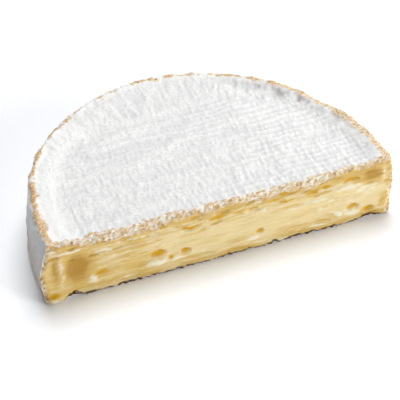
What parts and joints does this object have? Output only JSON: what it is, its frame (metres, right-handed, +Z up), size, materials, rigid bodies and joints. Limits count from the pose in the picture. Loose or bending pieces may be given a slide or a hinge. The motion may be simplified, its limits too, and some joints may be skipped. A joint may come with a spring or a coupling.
{
  "type": "half wheel of soft bloomy-rind cheese",
  "caption": "Half of a flat round soft cheese with a white bloomy rind, cut straight across to show its creamy golden paste.",
  "frame": {"origin": "middle of the bottom of the bounding box, on the surface that the cheese lies on", "axes": "+X along the cut, +Y from the cut towards the round back, +Z up through the height of the wheel; the cut faces -Y"},
  "size_m": [0.1394, 0.0776, 0.0305],
  "materials": {
    "rind": "matte",
    "paste": "satin"
  },
  "bodies": {
    "root": {"half_cheese_wheel": "rind"}
  },
  "joints": []
}
